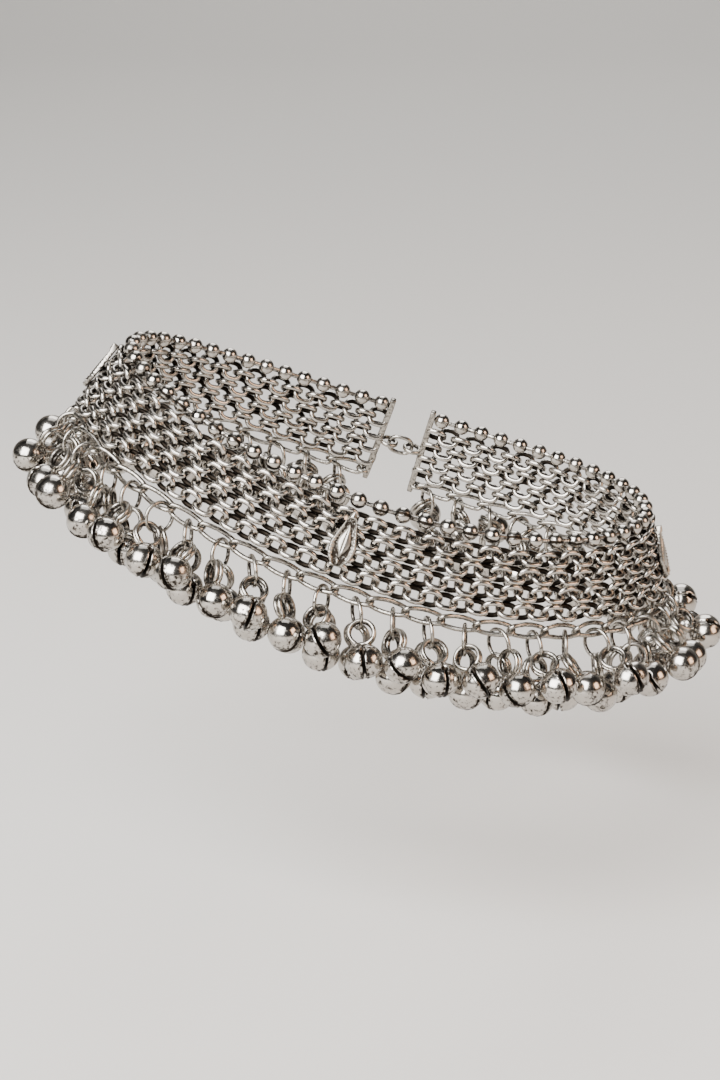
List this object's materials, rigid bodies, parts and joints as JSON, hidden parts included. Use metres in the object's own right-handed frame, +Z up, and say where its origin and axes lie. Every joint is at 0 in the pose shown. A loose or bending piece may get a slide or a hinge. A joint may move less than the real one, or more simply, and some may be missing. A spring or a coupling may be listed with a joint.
{
  "type": "payal anklet",
  "caption": "Oxidised silver anklet, worn form: bead chain edge, woven cable-chain band with leaf shields, long links and jump rings hung with round bells.",
  "frame": {"origin": "middle of the bead loop, where the ankle passes through", "axes": "+X towards the heel, -Y towards the outer side of the leg, +Z up; the instep end is the high one"},
  "size_m": [0.1316, 0.0922, 0.0638],
  "materials": {
    "polished_beads": "polished oxidised silver plate",
    "oxidised_chain": "oxidised silver wire, rubbed bright on top",
    "polished_wire": "drawn silver-plated wire, bright with dark recesses",
    "polished_bells": "pressed and polished silver plate with dark seam and pits",
    "cast_shield": "cast, blackened in the recesses and polished on the rim",
    "clasp_metal": "plain oxidised silver"
  },
  "bodies": {
    "root": {"ball_chain": "polished_beads", "chain_row_1": "oxidised_chain", "chain_row_2": "oxidised_chain", "chain_row_3": "oxidised_chain", "chain_row_4": "oxidised_chain", "long_chain": "polished_wire", "bell_pair_01": "polished_bells", "bell_pair_02": "polished_bells", "bell_pair_03": "polished_bells", "bell_pair_04": "polished_bells", "bell_pair_05": "polished_bells", "bell_pair_06": "polished_bells", "bell_pair_07": "polished_bells", "bell_pair_08": "polished_bells", "bell_pair_09": "polished_bells", "bell_pair_10": "polished_bells", "bell_pair_11": "polished_bells", "bell_pair_12": "polished_bells", "bell_pair_13": "polished_bells", "bell_pair_14": "polished_bells", "bell_pair_15": "polished_bells", "bell_pair_16": "polished_bells", "bell_pair_17": "polished_bells", "bell_pair_18": "polished_bells", "bell_pair_19": "polished_bells", "bell_pair_20": "polished_bells", "bell_pair_21": "polished_bells", "bell_pair_22": "polished_bells", "bell_pair_23": "polished_bells", "bell_pair_24": "polished_bells", "bell_pair_25": "polished_bells", "bell_pair_26": "polished_bells", "bell_pair_27": "polished_bells", "bell_pair_28": "polished_bells", "bell_pair_29": "polished_bells", "bell_pair_30": "polished_bells", "bell_pair_31": "polished_bells", "bell_pair_32": "polished_bells", "bell_pair_33": "polished_bells", "bell_pair_34": "polished_bells", "bell_pair_35": "polished_bells", "bell_pair_36": "polished_bells", "bell_pair_37": "polished_bells", "bell_pair_38": "polished_bells", "bell_pair_39": "polished_bells", "bell_pair_40": "polished_bells", "bell_pair_41": "polished_bells", "bell_pair_42": "polished_bells", "bell_pair_43": "polished_bells", "bell_pair_44": "polished_bells", "shield_front": "cast_shield", "shield_outer": "cast_shield", "shield_back": "cast_shield", "end_bar_front": "clasp_metal", "end_bar_back": "clasp_metal", "clasp_link": "clasp_metal"}
  },
  "joints": []
}
